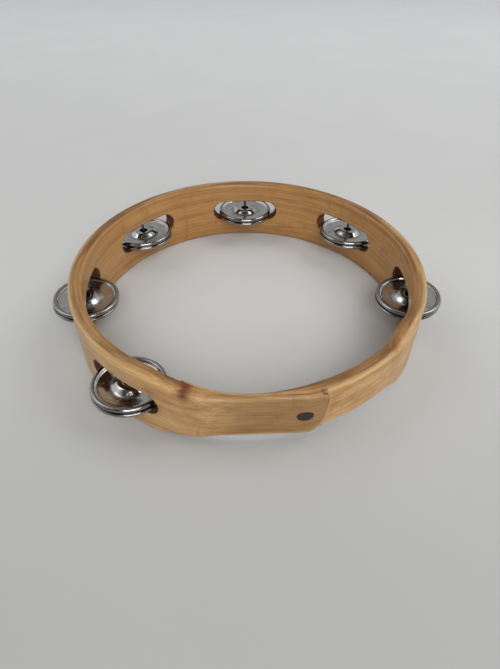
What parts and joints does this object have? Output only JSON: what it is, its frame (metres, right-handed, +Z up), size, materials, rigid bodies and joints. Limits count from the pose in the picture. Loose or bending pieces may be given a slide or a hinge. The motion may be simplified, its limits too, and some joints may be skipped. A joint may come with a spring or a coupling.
{
  "type": "tambourine",
  "caption": "Headless round tambourine: a lap-jointed bent wooden hoop with a narrowed grip, and pairs of stamped steel jingles loose on steel pins in slots.",
  "frame": {"origin": "middle of the whole object's footprint, on the surface that the hoop lies on", "axes": "+Z up through the lying hoop, +Y from the grip towards the opposite side, +X to the right when the grip is nearest, along the longest extent"},
  "size_m": [0.2896, 0.2684, 0.0508],
  "materials": {
    "wood": "thin clear lacquer, satin",
    "nickel_steel": "bright nickel plate on stamped steel",
    "dark_steel": "plain darkened steel wire"
  },
  "bodies": {
    "hoop": {"hoop": "wood", "nail_1": "dark_steel", "nail_2": "dark_steel", "nail_3": "dark_steel", "nail_4": "dark_steel", "nail_5": "dark_steel", "nail_6": "dark_steel"},
    "lower_jingle_1": {"lower_jingle_1": "nickel_steel"},
    "upper_jingle_1": {"upper_jingle_1": "nickel_steel"},
    "lower_jingle_2": {"lower_jingle_2": "nickel_steel"},
    "upper_jingle_2": {"upper_jingle_2": "nickel_steel"},
    "lower_jingle_3": {"lower_jingle_3": "nickel_steel"},
    "upper_jingle_3": {"upper_jingle_3": "nickel_steel"},
    "lower_jingle_4": {"lower_jingle_4": "nickel_steel"},
    "upper_jingle_4": {"upper_jingle_4": "nickel_steel"},
    "lower_jingle_5": {"lower_jingle_5": "nickel_steel"},
    "upper_jingle_5": {"upper_jingle_5": "nickel_steel"},
    "lower_jingle_6": {"lower_jingle_6": "nickel_steel"},
    "upper_jingle_6": {"upper_jingle_6": "nickel_steel"}
  },
  "joints": [
    {"name": "jingle_1_spin", "type": "hinge", "parent": "hoop", "child": "lower_jingle_1", "pos_m": [0.12047, -0.01596, 0.0226], "axis": [-0.0422, -0.0068, 0.9991], "continuous": true},
    {"name": "jingle_1_lift", "type": "slide", "parent": "lower_jingle_1", "child": "upper_jingle_1", "axis": [-0.0422, -0.0068, 0.9991], "range_m": [0, 0.006]},
    {"name": "jingle_2_spin", "type": "hinge", "parent": "hoop", "child": "lower_jingle_2", "pos_m": [0.08697, 0.07429, 0.0226], "axis": [0.0426, 0.0512, 0.9978], "continuous": true},
    {"name": "jingle_2_lift", "type": "slide", "parent": "lower_jingle_2", "child": "upper_jingle_2", "axis": [0.0426, 0.0512, 0.9978], "range_m": [0, 0.006]},
    {"name": "jingle_3_spin", "type": "hinge", "parent": "hoop", "child": "lower_jingle_3", "pos_m": [-0.00422, 0.11035, 0.0226], "axis": [0.0019, 0.0489, 0.9988], "continuous": true},
    {"name": "jingle_3_lift", "type": "slide", "parent": "lower_jingle_3", "child": "upper_jingle_3", "axis": [0.0019, 0.0489, 0.9988], "range_m": [0, 0.006]},
    {"name": "jingle_4_spin", "type": "hinge", "parent": "hoop", "child": "lower_jingle_4", "pos_m": [-0.09217, 0.06862, 0.0226], "axis": [-0.0366, 0.043, 0.9984], "continuous": true},
    {"name": "jingle_4_lift", "type": "slide", "parent": "lower_jingle_4", "child": "upper_jingle_4", "axis": [-0.0366, 0.043, 0.9984], "range_m": [0, 0.006]},
    {"name": "jingle_5_spin", "type": "hinge", "parent": "hoop", "child": "lower_jingle_5", "pos_m": [-0.12081, -0.02252, 0.0226], "axis": [0.0321, -0.0056, 0.9995], "continuous": true},
    {"name": "jingle_5_lift", "type": "slide", "parent": "lower_jingle_5", "child": "upper_jingle_5", "axis": [0.0321, -0.0056, 0.9995], "range_m": [0, 0.006]},
    {"name": "jingle_6_spin", "type": "hinge", "parent": "hoop", "child": "lower_jingle_6", "pos_m": [-0.07312, -0.10655, 0.0226], "axis": [0.0254, 0.0508, 0.9984], "continuous": true},
    {"name": "jingle_6_lift", "type": "slide", "parent": "lower_jingle_6", "child": "upper_jingle_6", "axis": [0.0254, 0.0508, 0.9984], "range_m": [0, 0.006]}
  ]
}
